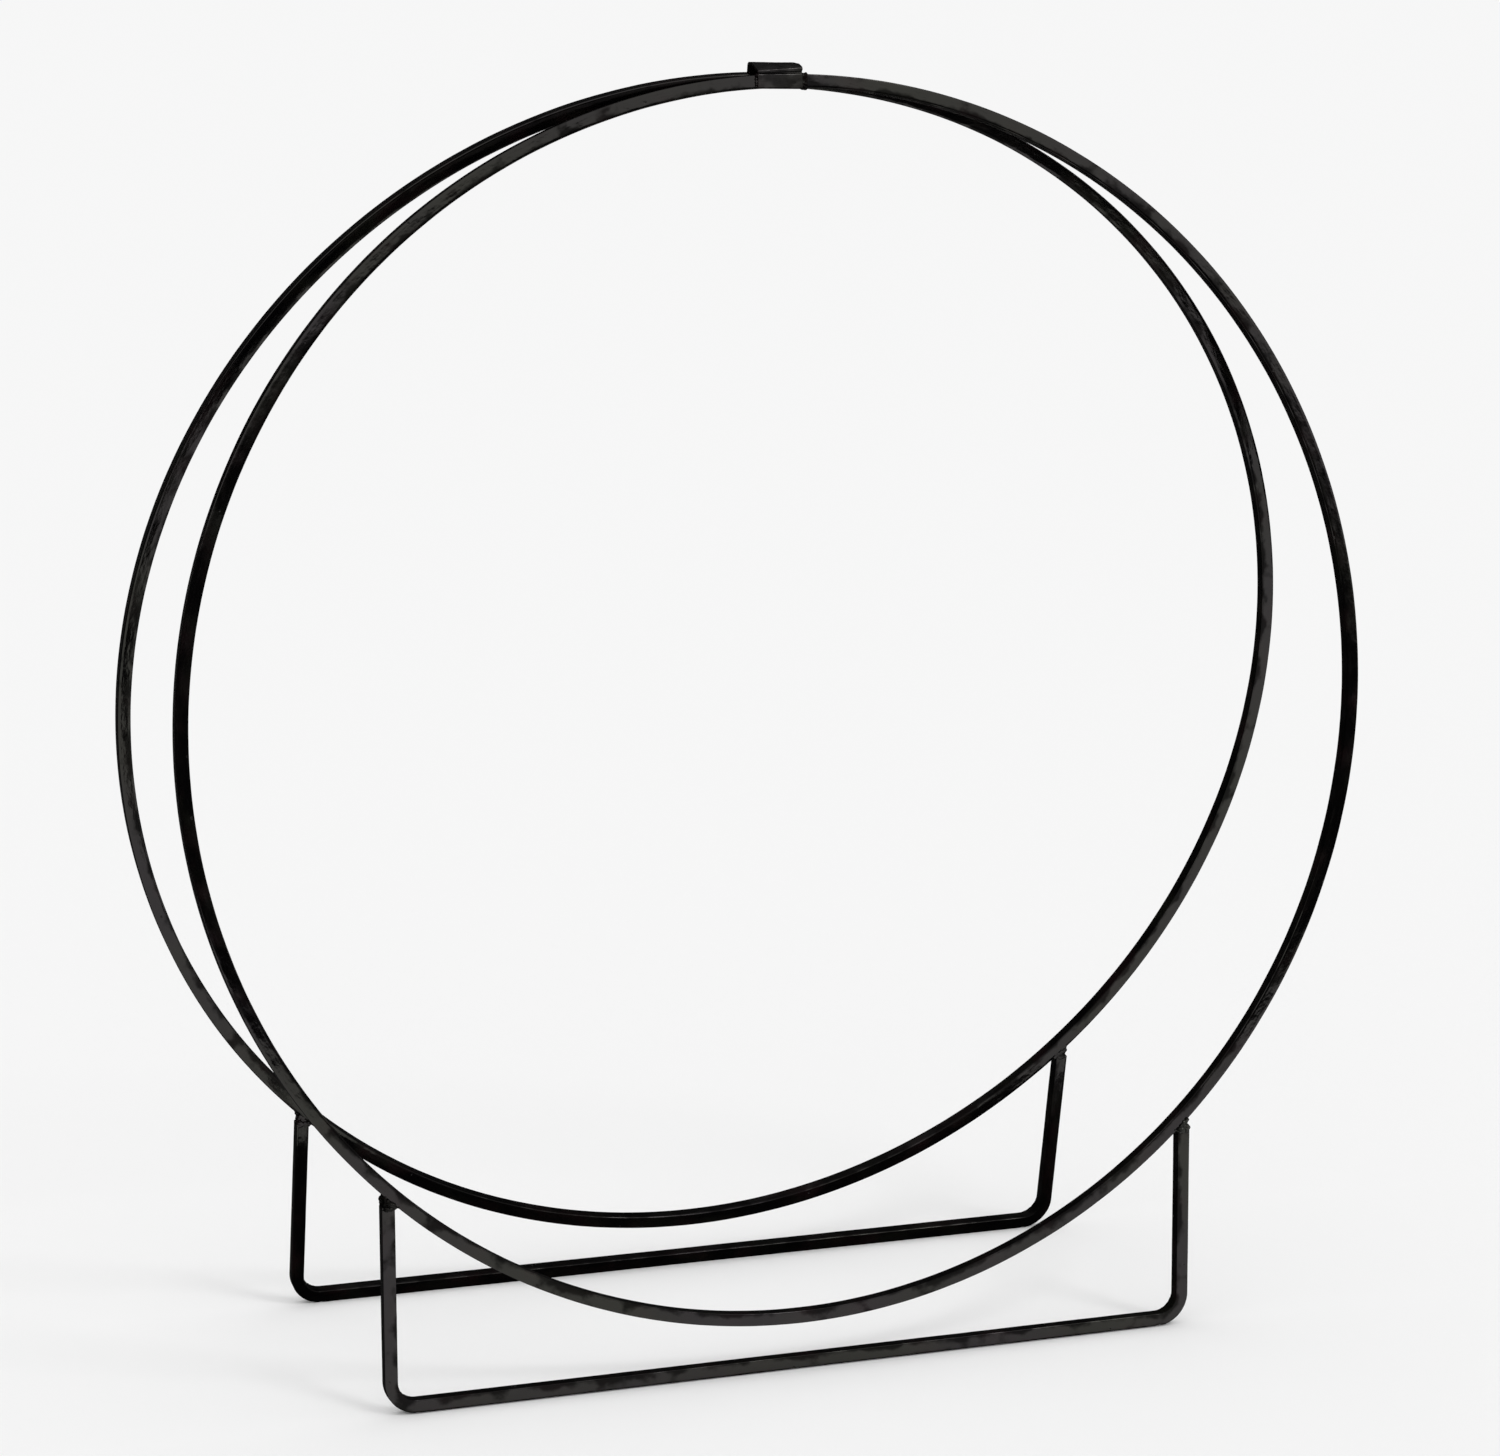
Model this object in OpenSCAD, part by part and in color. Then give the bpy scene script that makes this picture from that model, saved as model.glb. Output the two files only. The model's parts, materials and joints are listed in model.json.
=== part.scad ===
// Folding firewood log rack. Two round hoops of square steel bar each stand on a bent bar
// foot. A bent strap clip, welded to the front hoop, hooks over the rear hoop at the top,
// so the two frames lean on each other as an A-frame and fold flat against each other.
// Millimetres, +Z up, floor at Z = 0, front frame towards -Y, left towards -X.

/* [Bar] */
// Width across the flats of the square bar
bar = 12.7; // [8:0.1:20]
// Radius of the bar's four long edges
bar_edge = 0.8; // [0.3:0.1:3]

/* [Frames] */
// Outer diameter of each hoop
hoop_od = 1219.2; // [900:0.1:1230]
// From the top of a hoop down to the underside of its foot, measured along the frame
frame_drop = 1265; // [1245:1:1600]
// Distance between the centre lines of a foot's two legs
leg_span = 836; // [400:1:860]
// Centre-line radius of the two bends of a foot
foot_bend = 25.4; // [15:0.1:80]

/* [Stance] */
// Lean of each frame from upright when the rack stands open
lean = 6.25; // [2:0.05:15]
// How far the rear frame hangs to the left of the front frame in its loose clip
side_offset = 26; // [0:1:40]
// Gap between the two hoops at the top, where they bear on each other
hinge_gap = 0.4; // [0.2:0.1:2]

/* [Hinge clip] */
// Length of the clip along the hoops
clip_length = 45; // [20:1:120]
// Position of the middle of the clip, left is negative
clip_x = -7; // [-30:1:30]
// Thickness of the clip's strap
clip_strap = 2.5; // [1.5:0.1:5]
// Height of the clip's roof above the top of the hoops
clip_rise = 10.2; // [6:0.1:25]
// Outer radius of the clip's two top bends
clip_bend = 8.5; // [4:0.1:12]
// How far the clip's legs reach down from the top of the hoops
clip_leg = 13; // [8:0.5:30]
// Gap between the rear hoop and the clip's rear leg when the rack stands open
clip_slack = 0.3; // [0.1:0.1:2]

/* [Welds] */
// Radius of the weld lumps where a leg meets its hoop
foot_weld_r = 6; // [4:0.1:9]
// How far the foot welds stand proud of the bar's faces
foot_weld_proud = 1.2; // [0.3:0.1:1.9]
// Spacing of the weld lumps along the hoop
foot_weld_step = 5; // [2:0.5:10]
// Radius of the weld lumps at the ends of the clip's front leg
clip_weld_r = 2.8; // [1.5:0.1:5]

/* [Hidden] */
$fn = 64;
ring_fn = 240;
hoop_r = hoop_od / 2;
hinge_z = frame_drop * cos(lean) - hinge_gap / 2 * sin(lean);
inner_q = hinge_gap / 2;
outer_q = inner_q + bar;
mid_q = inner_q + bar / 2;
foot_y = -frame_drop + bar / 2;
leg_x = leg_span / 2;
leg_top = -hoop_r - sqrt(hoop_r * hoop_r - (leg_x + bar) * (leg_x + bar));

// Square bar section with softly rounded edges, centred on its own middle.
module bar_section() {
    flat = bar - 2 * bar_edge;
    square([bar, flat], center = true);
    square([flat, bar], center = true);
    for (sx = [-1, 1], sy = [-1, 1])
        translate([sx * flat / 2, sy * flat / 2]) circle(r = bar_edge);
}

// A frame is drawn flat: +X right, +Y up the frame from the hinge line, +Z outwards.
module place_front() {
    translate([side_offset / 2, 0, hinge_z]) rotate([90 - lean, 0, 0]) children();
}

// The rear frame is the front one turned half round, so its left end is drawn as a right one.
module place_rear() {
    rotate([0, 0, 180]) place_front() children();
}

// Ring rolled from one length of bar and closed.
module hoop() {
    translate([0, -hoop_r, mid_q]) rotate_extrude($fn = ring_fn)
        translate([hoop_r - bar / 2, 0]) bar_section();
}

module foot_leg(side) {
    translate([side * leg_x, foot_y + foot_bend, 0]) rotate([-90, 0, 0])
        linear_extrude(height = leg_top - foot_y - foot_bend) bar_section();
}

module foot_corner() {
    translate([leg_x - foot_bend, foot_y + foot_bend, 0]) rotate([0, 0, -90])
        rotate_extrude(angle = 90) translate([foot_bend, 0]) bar_section();
}

// U-bent bar whose two legs are coped to sit against the outside of the hoop.
module foot() {
    translate([0, 0, mid_q]) difference() {
        union() {
            translate([0, foot_y, 0]) rotate([0, 90, 0])
                linear_extrude(height = leg_span - 2 * foot_bend, center = true) bar_section();
            foot_leg(-1);
            foot_leg(1);
            foot_corner();
            mirror([1, 0, 0]) foot_corner();
        }
        translate([0, -hoop_r, 0]) cylinder(r = hoop_r, h = 2 * bar, center = true, $fn = ring_fn);
    }
}

// The bar with sharp edges, which a weld bead stops against.
module weld_bounds() {
    translate([0, -hoop_r, mid_q]) difference() {
        cylinder(r = hoop_r, h = bar, center = true, $fn = ring_fn);
        cylinder(r = hoop_r - bar, h = 2 * bar, center = true, $fn = ring_fn);
    }
}

// Weld lump: a drum through the bar's thickness with a coned cap proud of each face.
module weld_lump(r) {
    face = bar / 2;
    cap = face + foot_weld_proud;
    cap_r = r - 2 * foot_weld_proud;
    rotate_extrude() polygon([[0, -cap], [cap_r, -cap], [r, -face],
                              [r, face], [cap_r, cap], [0, cap]]);
}

// Weld bead run round the top of one leg: overlapping lumps along the hoop's outside.
module foot_weld(side) {
    middle = asin(leg_x / hoop_r);
    step = foot_weld_step / hoop_r * 180 / PI;
    difference() {
        for (i = [-1.5:1:1.5]) let (a = middle + i * step, reach = hoop_r + bar / 8)
            translate([side * reach * sin(a), -hoop_r - reach * cos(a), mid_q])
                weld_lump(foot_weld_r - 0.4 * abs(i));
        weld_bounds();
        translate([side * leg_x, leg_top - 2 * bar, mid_q]) cube([bar, 4 * bar, bar], center = true);
    }
}

function arc(centre, r, from, to, steps = 10) =
    [for (i = [0:steps]) let (a = from + (to - from) * i / steps) centre + r * [cos(a), sin(a)]];

// Path over both hoops in the Y-Z plane, down along the leaning bars on each side.
function clip_path(front_q, rear_q, r) =
    let (z = clip_rise - clip_bend, slope = tan(lean), end = clip_leg * sin(lean),
         front_y = (front_q - r) / cos(lean) - z * slope,
         rear_y = (rear_q - r) / cos(lean) - z * slope)
    concat([[-front_q / cos(lean) - end, -clip_leg * cos(lean)]],
           arc([-front_y, z], r, 180 - lean, 90), arc([rear_y, z], r, 90, lean),
           [[rear_q / cos(lean) + end, -clip_leg * cos(lean)]]);

function reversed(list) = [for (i = [len(list) - 1:-1:0]) list[i]];

// Strap bent over both hoops; its front leg lies on the front hoop's front face.
module clip() {
    outside = clip_path(outer_q + clip_strap, outer_q + clip_slack + clip_strap, clip_bend);
    inside = clip_path(outer_q, outer_q + clip_slack, clip_bend - clip_strap);
    translate([clip_x, 0, hinge_z]) rotate([90, 0, 90])
        linear_extrude(height = clip_length, center = true)
            polygon(concat(outside, reversed(inside)));
}

// Weld bead up one end of the clip's front leg, on the front face of the front hoop.
module clip_weld(side) {
    end_x = clip_x + side * clip_length / 2 - side_offset / 2;
    difference() {
        place_front() for (s = [clip_leg / 5, clip_leg / 2, clip_leg * 4 / 5])
            translate([end_x + side * clip_weld_r / 5, -s, outer_q + clip_weld_r / 4])
                sphere(r = clip_weld_r);
        place_front() weld_bounds();
        clip();
    }
}

module front_hoop() { color("#1b1b1c") place_front() hoop(); }

module front_foot() { color("#1b1b1c") place_front() foot(); }

module front_weld_left() { color("#2a2a2c") place_front() foot_weld(-1); }

module front_weld_right() { color("#2a2a2c") place_front() foot_weld(1); }

module hinge_clip() { color("#232324") clip(); }

module clip_weld_left() { color("#2a2a2c") clip_weld(-1); }

module clip_weld_right() { color("#2a2a2c") clip_weld(1); }

module rear_hoop() { color("#1b1b1c") place_rear() hoop(); }

module rear_foot() { color("#1b1b1c") place_rear() foot(); }

module rear_weld_left() { color("#2a2a2c") place_rear() foot_weld(1); }

module rear_weld_right() { color("#2a2a2c") place_rear() foot_weld(-1); }

front_hoop();
front_foot();
front_weld_left();
front_weld_right();
hinge_clip();
clip_weld_left();
clip_weld_right();
rear_hoop();
rear_foot();
rear_weld_left();
rear_weld_right();
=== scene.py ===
"""Looks of the folding firewood log rack: bent square bars, weld beads and strap clip.

Everything is in metres in the frame's own axes: +Z up, front frame towards -Y. Each frame of
the rack is drawn flat, with X across, Y up from the hinge line and Z outwards, then leaned.
"""

import json
import math
import random

import bmesh
import bpy
from mathutils import Matrix, Vector, noise


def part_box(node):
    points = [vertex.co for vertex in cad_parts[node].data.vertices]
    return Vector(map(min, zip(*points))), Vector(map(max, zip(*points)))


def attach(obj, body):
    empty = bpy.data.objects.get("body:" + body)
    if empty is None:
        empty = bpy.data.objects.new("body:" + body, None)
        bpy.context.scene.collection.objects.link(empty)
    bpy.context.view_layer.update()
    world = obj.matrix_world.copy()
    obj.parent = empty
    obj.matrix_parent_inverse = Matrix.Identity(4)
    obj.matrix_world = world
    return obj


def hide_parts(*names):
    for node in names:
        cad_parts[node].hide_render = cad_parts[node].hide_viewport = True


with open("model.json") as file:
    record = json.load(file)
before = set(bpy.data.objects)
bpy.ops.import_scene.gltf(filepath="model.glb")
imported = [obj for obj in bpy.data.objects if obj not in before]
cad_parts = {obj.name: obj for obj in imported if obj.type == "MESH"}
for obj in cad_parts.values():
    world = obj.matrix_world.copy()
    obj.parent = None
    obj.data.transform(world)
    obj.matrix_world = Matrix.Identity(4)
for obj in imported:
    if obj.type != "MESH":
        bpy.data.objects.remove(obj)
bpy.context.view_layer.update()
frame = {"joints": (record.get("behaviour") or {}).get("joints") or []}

MM = 0.001

# Sizes of the bar and of the two frames
BAR = 12.7 * MM
HALF = BAR / 2
EDGE = 1.0 * MM  # radius of the bar's long edges
LEG_GAP = 1.2 * MM  # a leg is cut square and stops this far short of the hoop
HOOP_R = 609.6 * MM  # to the outside of the bar
LEAN = math.radians(6.25)
INNER = 0.2 * MM  # from the hinge line to the bar's inner face
MID = INNER + HALF
OUTER = INNER + BAR
DROP = 1265.0 * MM  # top of a hoop to the underside of its foot
BEND = 25.4 * MM  # centre-line radius of a foot's bends

# Sizes of the strap clip
STRAP = 2.5 * MM  # thickness
CLIP_RISE = 10.6 * MM  # top of the roof above the hinge line
CLIP_REACH = 12.4 * MM  # how far its legs come down
CLIP_SLACK = 0.3 * MM  # behind the loose rear hoop
FACE_LEAN = math.radians(3)  # backward slope of the strap above its flange
FOLD_EDGE = math.radians(60)  # edges sharper than this are rounded

# How uneven mill-rolled, hand-bent bar is: (height, length of a wave), in metres
TWIST = (math.radians(1.3), 0.16)  # its height is an angle
WAVE = (0.13 * MM, 0.045)
RIPPLE = (0.05 * MM, 0.011)
WRINKLE = 0.75 * MM
WRINKLE_SIZE = (2.6 * MM, 12.0 * MM)  # along the bar and across it
SWELL, THIN = 0.10, 0.05  # share gained inside a bend and lost outside it

# Weld drops
PITCH = 2.9 * MM
GROUND = 0.10 * MM  # how far a bead may stand past the bar's inner face
DROP_RADII = (1.5, 3.3)  # in mm, in the wedge
NOTCH_RADII = (1.5, 2.6)  # at the inner corner
TOE_RADII = (1.0, 1.8)  # run out along the hoop

hinge = Vector(frame["joints"][0]["pos_m"])
hoop_lo, hoop_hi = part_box("front_hoop")
foot_lo, foot_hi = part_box("front_foot")
clip_lo, clip_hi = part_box("hinge_clip")
side = (hoop_lo.x + hoop_hi.x) / 2
leg_x = (foot_hi.x - foot_lo.x) / 2 - HALF
FRONT = Matrix.Translation((side, 0, hinge.z)) @ Matrix.Rotation(math.pi / 2 - LEAN, 4, "X")
REAR = Matrix.Rotation(math.pi, 4, "Z") @ FRONT


# ---------------------------------------------------------------- shared mesh tools


def lumps(point, size, seed):
    """Smooth noise, about -1 to 1, with lumps of the given size."""
    return noise.noise(point / size + Vector((seed * 7.3, seed * 3.1, seed * 5.7)))


def bump_at(distance, width):
    """Bell curve, 1 at no distance."""
    return math.exp(-((distance / width) ** 2))


def rounded_path(corners, radii, counts):
    """Points, leftward normals and bend amounts along straight runs joined by arcs.

    The amount is 0 on a straight run and 1 in the middle of a bend. The counts give the number
    of points in each run, arc, run, arc and so on.
    """
    points = []
    start = corners[0]
    for i in range(1, len(corners)):
        along = (corners[i] - corners[i - 1]).normalized()
        left = Vector((-along.y, along.x))
        last = i == len(corners) - 1
        if last:
            end = corners[i]
        else:
            onward = (corners[i + 1] - corners[i]).normalized()
            turn = along.angle_signed(onward)
            cut = radii[i - 1] * math.tan(abs(turn) / 2)
            end = corners[i] - along * cut
        count = counts[2 * i - 2]
        for k in range(count if not last else count + 1):
            points.append((start.lerp(end, k / count), left, 0.0))
        if last:
            break
        sign = -1 if turn > 0 else 1
        centre = end + left * radii[i - 1] * sign
        count = counts[2 * i - 1]
        for k in range(count):
            swing = Matrix.Rotation(-turn * k / count, 2)
            outward = swing @ (-left * sign)
            amount = math.sin(math.pi * k / count)
            points.append((centre + outward * radii[i - 1], -outward * sign, amount))
        start = corners[i] + onward * cut
    return points


def stitch(bm, rings, closed):
    """Faces between neighbouring rings of vertices."""
    count = len(rings[0])
    for a, b in zip(rings, rings[1:] + (rings[:1] if closed else [])):
        for i in range(count):
            j = (i + 1) % count
            bm.faces.new((a[i], a[j], b[j], b[i]))


def finish_mesh(bm, name, matrix):
    """Turns a bmesh drawn flat into a placed mesh."""
    bmesh.ops.recalc_face_normals(bm, faces=bm.faces)
    bm.transform(matrix)
    mesh = bpy.data.meshes.new(name)
    bm.to_mesh(mesh)
    bm.free()
    return mesh


def add_piece(mesh, material, body, nodes):
    """Links a finished mesh as a piece of the rack that stands for some CAD nodes."""
    mesh.materials.append(material)
    mesh.shade_smooth()
    if "bar_coord" not in mesh.attributes:
        coords = mesh.attributes.new("bar_coord", "FLOAT_VECTOR", "POINT")
        for vertex in mesh.vertices:
            coords.data[vertex.index].vector = vertex.co
    obj = bpy.data.objects.new(mesh.name, mesh)
    bpy.context.scene.collection.objects.link(obj)
    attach(obj, body)
    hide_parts(*nodes)


# ---------------------------------------------------------------- bars


def bar_section(flat_steps=5, corner_steps=4):
    """Points (out, across) of the rounded square section, anticlockwise."""
    inset = HALF - EDGE
    points = []
    for corner in range(4):
        centre = Matrix.Rotation(corner * math.pi / 2, 2) @ Vector((inset, inset))
        for k in range(corner_steps + 1):
            a = (corner + k / corner_steps) * math.pi / 2
            points.append(centre + Vector((math.cos(a), math.sin(a))) * EDGE)
        following = Matrix.Rotation(math.pi / 2, 2) @ points[-corner_steps - 1]
        end = points[-1]
        for k in range(1, flat_steps):
            points.append(end.lerp(following, k / flat_steps))
    return points


def sweep_bar(stations, closed, seed):
    """A bar along stations of (centre, outward direction, bend), drawn flat.

    In a bend the bar's inner side swells and wrinkles and its outer side thins. For the paint,
    bar_coord holds distance along the bar and place in its section, and bar_bend the bend.
    """
    section = bar_section()
    along, over = WRINKLE_SIZE
    bm = bmesh.new()
    coord = bm.verts.layers.float_vector.new("bar_coord")
    bent = bm.verts.layers.float.new("bar_bend")
    rings = []
    travelled = seed * 3.0  # a start of its own, so that no two bars look alike
    previous = stations[0][0]
    for centre, out, bend in stations:
        travelled += (centre - previous).length
        previous = centre
        twist = TWIST[0] * lumps(Vector((travelled, 0, 0)), TWIST[1], seed)
        spin = Matrix.Rotation(twist, 2)
        ring = []
        for flat in section:
            u, v = spin @ flat
            inward = max(0.0, -u / HALF)
            v *= 1 + bend * (SWELL * inward - THIN * max(0.0, u / HALF))
            place = Vector((travelled, flat.x, flat.y))
            normal = Vector((out.x * u, out.y * u, v)).normalized()
            uneven = sum(high * lumps(place, wide, seed) for high, wide in (WAVE, RIPPLE))
            wrinkle = Vector((travelled / along, flat.x / over, flat.y / over))
            uneven += bend * (0.30 - 0.25 * u / HALF) * WRINKLE * lumps(wrinkle, 1.0, seed)
            point = Vector((centre.x + out.x * u, centre.y + out.y * u, v + MID))
            vertex = bm.verts.new(point + normal * uneven)
            vertex[coord] = place
            vertex[bent] = bend
            ring.append(vertex)
        rings.append(ring)
    stitch(bm, rings, closed)
    if not closed:
        bm.faces.new(rings[0])
        bm.faces.new(rings[-1])
    return bm


def hoop_stations(count=1280):
    """Round the hoop from its top, where its two ends were joined."""
    for i in range(count):
        a = math.pi + i / count * math.tau
        out = Vector((math.sin(a), -math.cos(a)))
        yield Vector((0, -HOOP_R)) + out * (HOOP_R - HALF), out, 0.0


def hoop_edge(x):
    """Height of the lower outside of the hoop over a place x."""
    return -HOOP_R - math.sqrt(HOOP_R ** 2 - x * x)


# Height of the square-cut top of a leg, whose inner corner stops short of the hoop
LEG_CUT = hoop_edge(leg_x - HALF) - LEG_GAP


def foot_stations():
    """Down the left leg, along the floor bar and up the right leg."""
    low = -DROP + HALF
    corners = [
        Vector((-leg_x, LEG_CUT)),
        Vector((-leg_x, low)),
        Vector((leg_x, low)),
        Vector((leg_x, LEG_CUT)),
    ]
    path = rounded_path(corners, (BEND, BEND), (60, 64, 240, 64, 60))
    return [(point, -left, bend) for point, left, bend in path]


def die_marks(bm, seed):
    """Small dents in the underside of the foot where the bender gripped it."""
    rng = random.Random(seed)
    for sign in (-1, 1):
        depth = rng.uniform(0.5, 1.0) * MM
        for v in bm.verts:
            if v.co.y < -DROP + HALF:
                v.co.y += depth * bump_at(v.co.x - sign * (leg_x - BEND), 2.2 * MM)


# ---------------------------------------------------------------- weld beads


def bead_mesh(blobs, name, matrix, voxel):
    """One lumpy skin round overlapping uneven balls of (centre, radius).

    It is cut off just past the bar's inner face, so that the frames fold flat.
    """
    bm = bmesh.new()
    for k, (centre, radius) in enumerate(blobs):
        ball = bmesh.ops.create_icosphere(bm, subdivisions=2, radius=radius)
        for v in ball["verts"]:
            v.co *= 1 + 0.30 * lumps(v.co + centre, 1.8 * MM, k)
            v.co += centre
            v.co.z = max(v.co.z, INNER - GROUND)
    raw = finish_mesh(bm, name + ".raw", matrix)
    temp = bpy.data.objects.new(name + ".raw", raw)
    bpy.context.scene.collection.objects.link(temp)
    remesh = temp.modifiers.new("remesh", "REMESH")
    remesh.mode = "VOXEL"
    remesh.voxel_size = voxel
    smooth = temp.modifiers.new("smooth", "SMOOTH")
    smooth.factor = 0.5
    smooth.iterations = 9
    graph = bpy.context.evaluated_depsgraph_get()
    done = bpy.data.meshes.new_from_object(temp.evaluated_get(graph))
    bpy.data.objects.remove(temp)
    done.name = name
    done.materials.clear()
    return done


def leg_bead(sign, matrix, name, seed):
    """Weld that fills the wedge between a square-cut leg and the round hoop."""
    rng = random.Random(seed)
    near, far = leg_x - HALF, leg_x + HALF
    toe = near - 2.8 * MM
    blobs = []

    def drop(x, y, z, radii):
        jitter = Vector([rng.uniform(-1.0, 1.0) * MM for _ in range(3)])
        radius = rng.uniform(*radii) * MM
        blobs.append((Vector((sign * x, y, MID + z)) + jitter, radius))

    z = -HALF + 1.1 * MM
    while z < HALF + 0.2 * MM:
        # Near the bar's faces the weld runs over the hoop's edge and down the leg
        skin = abs(z) > HALF - 2.2 * MM
        x = near + 0.8 * MM
        while x < far - 1.2 * MM:
            top = hoop_edge(x) + (0.8 * MM if skin else 0)
            y = LEG_CUT - (rng.uniform(0.4, 2.6) * MM if skin else 0)
            while y < top:
                drop(x, y, z, DROP_RADII)
                y += PITCH
            x += PITCH
        notch = near - rng.uniform(0.2, 1.2) * MM
        drop(notch, hoop_edge(notch) - 0.8 * MM, z, NOTCH_RADII)
        drop(toe, hoop_edge(toe) + 0.5 * MM, z, TOE_RADII)
        z += PITCH
    return bead_mesh(blobs, name, matrix, 0.34 * MM)


def clip_bead(sign, name, seed):
    """Bead up one end of the clip's front leg, thick on the right and thin on the left."""
    rng = random.Random(seed)
    end = (clip_hi.x if sign > 0 else clip_lo.x) - side
    low, high = (1.9, 2.8) if sign > 0 else (1.2, 2.0)  # radii in mm
    blobs = []
    for k in range(9):
        y = -CLIP_REACH * (0.06 + 0.122 * k)
        for reach in ((0.7, 3.2) if sign > 0 else (0.5,)):
            reach += rng.uniform(-0.4, 0.5)
            centre = Vector((end + sign * reach * MM, y, OUTER + rng.uniform(-0.2, 0.5) * MM))
            blobs.append((centre, rng.uniform(low, high) * MM))
    return bead_mesh(blobs, name, FRONT, 0.36 * MM)


# ---------------------------------------------------------------- strap clip


def strap_path(t):
    """Outside of the strap in the Y-Z plane at station t, 0 at its left end, 1 at its right.

    The front flange lies along the leaning hoop, then the strap stands up to a crease from
    which its roof slopes back. The crease is low at the left and high at the right.
    """
    lean = math.tan(LEAN)
    front = (OUTER + STRAP) / math.cos(LEAN)
    rear = (OUTER + CLIP_SLACK + STRAP) / math.cos(LEAN)
    low = -CLIP_REACH * math.cos(LEAN)
    shelf = 0.9 * MM
    crease = (4.6 + 3.4 * t) * MM
    run = (18.0 - 8.0 * t) * MM
    face = -front + shelf * lean - (crease - shelf) * math.tan(FACE_LEAN)
    corners = [
        Vector((-front + low * lean, low)),
        Vector((-front + shelf * lean, shelf)),
        Vector((face, crease)),
        Vector((face + run, CLIP_RISE)),
        Vector((rear - CLIP_RISE * lean, CLIP_RISE)),
        Vector((rear - low * lean, low)),
    ]
    radii = (1.5 * MM, (2.8 + 1.0 * t) * MM, (9.0 - 3.0 * t) * MM, (4.0 + 2.0 * t) * MM)
    return rounded_path(corners, radii, (8, 3, 14, 9, 5, 7, 5, 9, 10))


def strap_mesh(name):
    """The strap, with a groove above its flange where it was folded over the bar."""
    stations = 36
    bm = bmesh.new()
    rings = []
    for i in range(stations + 1):
        t = i / stations
        x = clip_lo.x + (clip_hi.x - clip_lo.x) * t
        fold, fold_width = (1.7 + 1.7 * t) * MM, (0.7 + 0.9 * t) * MM
        outside, inside = [], []
        for point, left, _ in strap_path(t):
            where = Vector((x, point.x, point.y))
            dent = 0.22 * MM * lumps(where, 17 * MM, 3) * (point.y > 2 * MM)
            groove = 1.9 * MM * bump_at(point.y - fold, fold_width) * (point.x < 0)
            crumple = 0.10 * MM * lumps(where, 3 * MM, 8)
            skin = point - left * crumple + Vector((groove, 0))
            outside.append(bm.verts.new((x, skin.x, skin.y + dent)))
            inner = point - left * STRAP
            inside.append(bm.verts.new((x, inner.x, inner.y + dent)))
        rings.append(outside + list(reversed(inside)))
    stitch(bm, rings, False)
    count = len(rings[0])
    for ring in (rings[0], rings[-1]):
        for i in range(count // 2 - 1):
            bm.faces.new((ring[i], ring[i + 1], ring[count - 2 - i], ring[count - 1 - i]))
    bmesh.ops.recalc_face_normals(bm, faces=bm.faces)
    sharp = [e for e in bm.edges if e.is_manifold and e.calc_face_angle(0) > FOLD_EDGE]
    bmesh.ops.bevel(bm, geom=sharp, offset=0.5 * MM, segments=3, affect="EDGES", profile=0.5)
    return finish_mesh(bm, name, Matrix.Translation((0, 0, hinge.z)))


# ---------------------------------------------------------------- materials


class Nodes:
    """Short hand for building a node tree."""

    def __init__(self, tree):
        self.tree = tree

    def feed(self, socket, value):
        """Gives a socket a link or a plain value."""
        if isinstance(value, bpy.types.NodeSocket):
            self.tree.links.new(value, socket)
        else:
            socket.default_value = value

    def add(self, kind, settings=(), **inputs):
        """A node with its settings and inputs. An underscore stands for a space."""
        made = self.tree.nodes.new(kind)
        for key, value in dict(settings).items():
            setattr(made, key, value)
        for key, value in inputs.items():
            self.feed(made.inputs[key.replace("_", " ")], value)
        return made

    def ramp(self, value, low, high, start=0.0, end=1.0):
        """Smooth step from start to end while value goes from low to high."""
        made = self.add("ShaderNodeMapRange", {"interpolation_type": "SMOOTHSTEP"}, Value=value)
        limits = {"From Min": low, "From Max": high, "To Min": start, "To Max": end}
        for key, number in limits.items():
            made.inputs[key].default_value = number
        return made.outputs["Result"]

    def math(self, operation, a, b):
        """Result of a sum or product."""
        made = self.add("ShaderNodeMath", {"operation": operation})
        for socket, value in zip(made.inputs, (a, b)):
            self.feed(socket, value)
        return made.outputs[0]

    def mix(self, factor, a, b):
        """Blend of two colours."""
        made = self.add("ShaderNodeMix", {"data_type": "RGBA"})
        for index, value in ((0, factor), (6, a), (7, b)):
            self.feed(made.inputs[index], value)
        return made.outputs[2]


# Near-black colours of the enamel, and the casts it gives its reflections
MAROON = (0.0048, 0.0018, 0.0023, 1)
OLIVE = (0.0027, 0.0029, 0.0020, 1)
BLACK = (0.0008, 0.0007, 0.0008, 1)
PIT = (0.0012, 0.0010, 0.0009, 1)
MAROON_CAST = (1.0, 0.93, 0.95, 1)
OLIVE_CAST = (1.0, 0.99, 0.88, 1)


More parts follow.
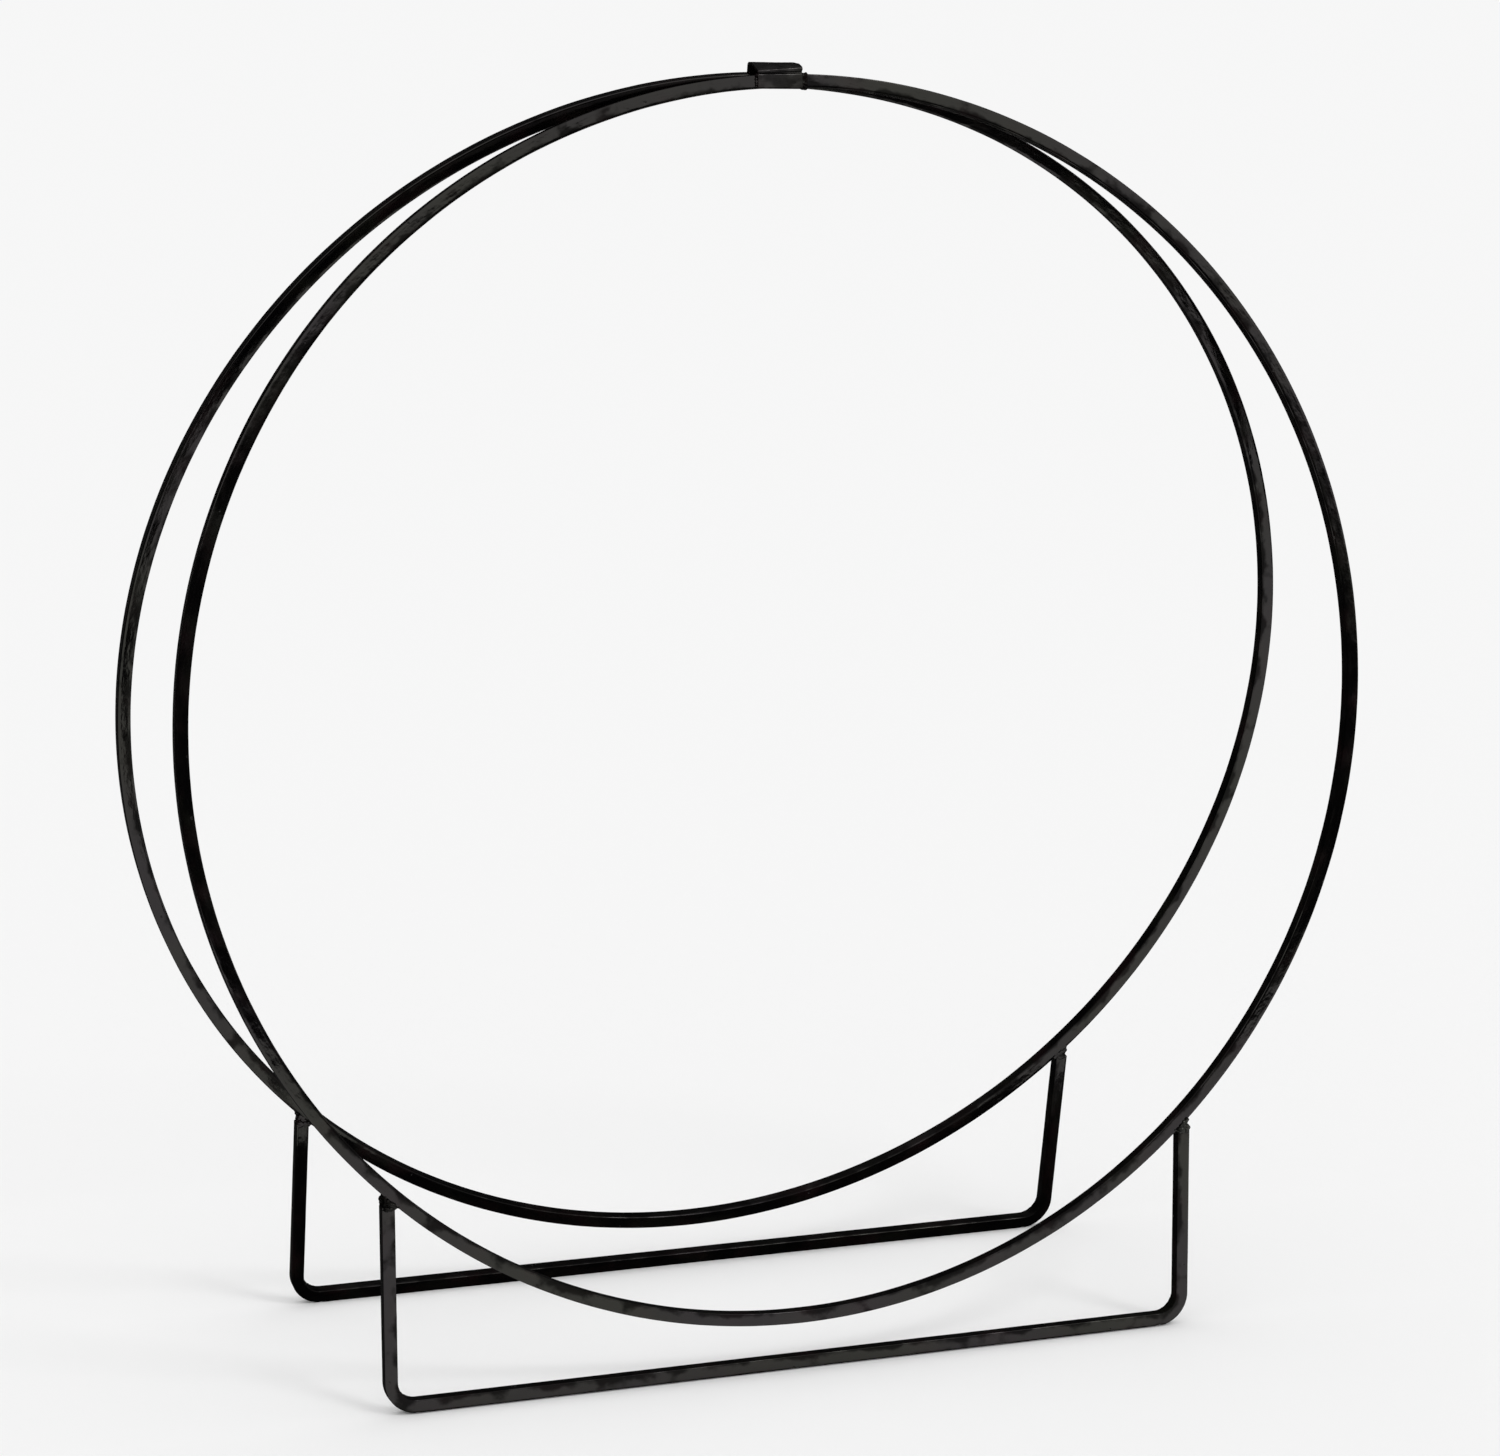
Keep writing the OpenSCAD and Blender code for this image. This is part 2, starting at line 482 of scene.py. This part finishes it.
def enamel(name, gloss, relief, thin):
    """Black gloss enamel on steel bar. Thin is how dull its thin patches are, 0 to 1.

    Faint maroon and olive casts, streaks along the bar, a slow waviness that sways the
    reflections, fine orange peel, a few pits, and dull patches inside the curves and bends.
    """
    material = bpy.data.materials.new(name)
    material.use_nodes = True
    nodes = Nodes(material.node_tree)
    shader = nodes.tree.nodes["Principled BSDF"]
    place = nodes.add("ShaderNodeAttribute", {"attribute_name": "bar_coord"}).outputs["Vector"]

    def noise_at(scale, detail, stretch=1.0):
        """Noise in the bar's own coordinates. A stretch below 1 draws it out along the bar."""
        vector = nodes.add("ShaderNodeVectorMath", {"operation": "MULTIPLY"}, Vector=place)
        vector.inputs[1].default_value = (scale * stretch, scale, scale)
        made = nodes.add("ShaderNodeTexNoise", Vector=vector.outputs[0], Scale=1.0, Detail=detail)
        return made.outputs["Fac"]

    patches = noise_at(38.0, 4.0, 0.55)
    tints = noise_at(21.0, 3.0)
    streaks = noise_at(420.0, 3.0, 0.09)
    peel = noise_at(900.0, 2.0)
    swell = noise_at(60.0, 3.0, 0.6)
    dapple = noise_at(190.0, 3.0, 0.4)

    tint = nodes.mix(nodes.ramp(tints, 0.35, 0.62), MAROON, OLIVE)
    black = nodes.mix(nodes.ramp(patches, 0.42, 0.66), BLACK, tint)
    pits = nodes.add("ShaderNodeTexVoronoi", Vector=place, Scale=70.0)
    chance = nodes.add("ShaderNodeSeparateColor", Color=pits.outputs["Color"]).outputs[0]
    hollow = nodes.ramp(pits.outputs["Distance"], 0.05, 0.11, 1.0, 0.0)
    pit = nodes.math("MULTIPLY", nodes.ramp(chance, 0.72, 0.74), hollow)
    nodes.feed(shader.inputs["Base Color"], nodes.mix(pit, black, PIT))
    cast = nodes.mix(nodes.ramp(noise_at(4.0, 2.0), 0.40, 0.60), MAROON_CAST, OLIVE_CAST)
    nodes.feed(shader.inputs["Specular Tint"], cast)

    across = nodes.add("ShaderNodeSeparateXYZ", Vector=place).outputs["Y"]
    inner_side = nodes.ramp(across, -7.0 * MM, 2.5 * MM, 1.0, 0.0)
    bend = nodes.add("ShaderNodeAttribute", {"attribute_name": "bar_bend"}).outputs["Fac"]
    inner_side = nodes.math("MULTIPLY", inner_side, 0.22)
    thinner = nodes.math("ADD", inner_side, nodes.math("MULTIPLY", bend, 0.13))
    bare = nodes.ramp(nodes.math("ADD", noise_at(55.0, 3.0, 0.8), thinner), 0.56, 0.76)
    dull = nodes.math("MULTIPLY", bare, thin)
    specular = nodes.math("SUBTRACT", 0.5, nodes.math("MULTIPLY", dull, 0.44))
    nodes.feed(shader.inputs["Specular IOR Level"], specular)

    sheen = nodes.ramp(patches, 0.40, 0.72, gloss, gloss * 2.1)
    sheen = nodes.math("ADD", sheen, nodes.ramp(streaks, 0.5, 0.75, 0.0, 0.05))
    sheen = nodes.math("ADD", sheen, nodes.math("MULTIPLY", pit, 0.5))
    sheen = nodes.math("ADD", sheen, nodes.math("MULTIPLY", dull, 0.10))
    nodes.feed(shader.inputs["Roughness"], sheen)

    normal = None
    for height, distance in ((swell, 0.45), (dapple, 0.06), (streaks, 0.025), (peel, 0.008)):
        bump = nodes.add("ShaderNodeBump", Height=height, Distance=distance * MM * relief)
        if normal:
            nodes.feed(bump.inputs["Normal"], normal)
        normal = bump.outputs["Normal"]
    dimple = nodes.add("ShaderNodeBump", {"invert": True}, Height=pit, Distance=0.25 * MM)
    nodes.feed(dimple.inputs["Normal"], normal)
    nodes.feed(shader.inputs["Normal"], dimple.outputs["Normal"])
    return material


bar_paint = enamel("bar_enamel", 0.08, 1.0, 0.85)
clip_paint = enamel("clip_enamel", 0.09, 1.2, 0.6)
weld_paint = enamel("weld_enamel", 0.085, 1.5, 1.0)


# ---------------------------------------------------------------- the rack


def build_frame(word, body, matrix, seed):
    """A hoop, its foot and the two weld beads between them."""
    hoop = sweep_bar(list(hoop_stations()), True, seed)
    add_piece(finish_mesh(hoop, word + "_hoop_bar", matrix), bar_paint, body,
              [word + "_hoop"])
    foot = sweep_bar(foot_stations(), False, seed + 1)
    die_marks(foot, seed)
    add_piece(finish_mesh(foot, word + "_foot_bar", matrix), bar_paint, body,
              [word + "_foot"])
    for end, sign in (("left", -1), ("right", 1)):
        flat_sign = sign if word == "front" else -sign
        bead = leg_bead(flat_sign, matrix, f"{word}_{end}_bead", seed * 10 + sign)
        add_piece(bead, weld_paint, body, [f"{word}_weld_{end}"])


build_frame("front", "front_frame", FRONT, 1)
build_frame("rear", "rear_frame", REAR, 5)
add_piece(strap_mesh("hinge_strap"), clip_paint, "front_frame", ["hinge_clip"])
for end, sign in (("left", -1), ("right", 1)):
    bead = clip_bead(sign, f"clip_{end}_bead", 40 + sign)
    add_piece(bead, weld_paint, "front_frame", [f"clip_weld_{end}"])


# ---------------------------------------------------------------- stage


PALE = (0.87, 0.87, 0.87, 1)
CAMERA_AT = (-1.2306, -3.3081, 1.4988)
CAMERA_TURN = (20.26, -13.99, 1.94)  # yaw to the right, pitch and roll, in degrees
LENS, SENSOR = 88.36, 36  # in millimetres


def floor():
    """Pale floor. The paint mirrors only its near part, like a short roll of white paper."""
    material = bpy.data.materials.new("floor")
    material.use_nodes = True
    shader = material.node_tree.nodes["Principled BSDF"]
    shader.inputs["Base Color"].default_value = PALE
    shader.inputs["Roughness"].default_value = 1.0
    shader.inputs["Specular IOR Level"].default_value = 0.0
    corners = ((-1, -1), (1, -1), (1, 1), (-1, 1))
    centre = Vector((0.25, -1.533))
    near, far = Vector((1.65, 1.377)), Vector((60.0, 60.0))  # half sizes
    for name, sizes in (("floor_near", (near,)), ("floor_far", (near, far))):
        bm = bmesh.new()
        rings = []
        for size in sizes:
            points = [(centre.x + a * size.x, centre.y + b * size.y, 0) for a, b in corners]
            rings.append([bm.verts.new(p) for p in points])
        if len(rings) == 1:
            bm.faces.new(rings[0])
        else:
            stitch(bm, rings, False)
        mesh = finish_mesh(bm, name, Matrix.Identity(4))
        mesh.materials.append(material)
        obj = bpy.data.objects.new(name, mesh)
        obj.visible_glossy = name == "floor_near"
        bpy.context.scene.collection.objects.link(obj)


def sun(name, direction, power, softness):
    """A sun lamp whose disc is softness degrees across."""
    light = bpy.data.lights.new(name, "SUN")
    light.energy = power
    light.angle = math.radians(softness)
    obj = bpy.data.objects.new(name, light)
    bpy.context.scene.collection.objects.link(obj)
    obj.rotation_euler = Vector(direction).to_track_quat("-Z", "Y").to_euler()


def studio():
    """White surroundings, which the paint mirrors as a bright front wall over a dark gap."""
    world = bpy.data.worlds.new("studio")
    bpy.context.scene.world = world
    world.use_nodes = True
    world.cycles.sampling_method = "NONE"  # sampled light would show the paint a white wall
    nodes = Nodes(world.node_tree)
    direction = nodes.add("ShaderNodeTexCoord").outputs["Generated"]
    axis = nodes.add("ShaderNodeSeparateXYZ", Vector=direction).outputs
    tilted = nodes.math("ADD", axis["Z"], nodes.math("MULTIPLY", axis["X"], 0.21))
    # In front a dark gap, higher on the left, then the wall. Behind, a dim ceiling over dark.
    wall = nodes.ramp(tilted, 0.115, 0.165, 0.012, 1.0)
    ceiling = nodes.ramp(axis["Z"], 0.50, 0.80, 0.02, 0.18)
    behind = nodes.ramp(axis["Y"], -0.45, 0.15)
    mirrored = nodes.mix(behind, wall, ceiling)
    rays = nodes.add("ShaderNodeLightPath").outputs
    seen = nodes.mix(rays["Is Glossy Ray"], (1, 1, 1, 1), mirrored)
    background = nodes.tree.nodes["Background"]
    nodes.feed(background.inputs["Color"], seen)
    background.inputs["Strength"].default_value = 0.95


def camera():
    """Seen from the front left, a little above the rack."""
    yaw, pitch, roll = (math.radians(v) for v in CAMERA_TURN)
    level = Vector((math.sin(yaw), math.cos(yaw), 0)) * math.cos(pitch)
    ahead = level + Vector((0, 0, math.sin(pitch)))
    right = Vector((math.cos(yaw), -math.sin(yaw), 0))
    up = right.cross(ahead)
    turned_right = right * math.cos(roll) + up * math.sin(roll)
    turned_up = up * math.cos(roll) - right * math.sin(roll)
    data = bpy.data.cameras.new("camera")
    data.sensor_width = SENSOR
    data.lens = LENS
    obj = bpy.data.objects.new("camera", data)
    bpy.context.scene.collection.objects.link(obj)
    basis = Matrix((turned_right, turned_up, -ahead)).transposed()
    obj.matrix_world = Matrix.Translation(CAMERA_AT) @ basis.to_4x4()
    bpy.context.scene.camera = obj


floor()
sun("key", (-0.5, 0.55, -1.0), 0.45, 14)
studio()
camera()
bpy.context.scene.view_settings.view_transform = "Standard"
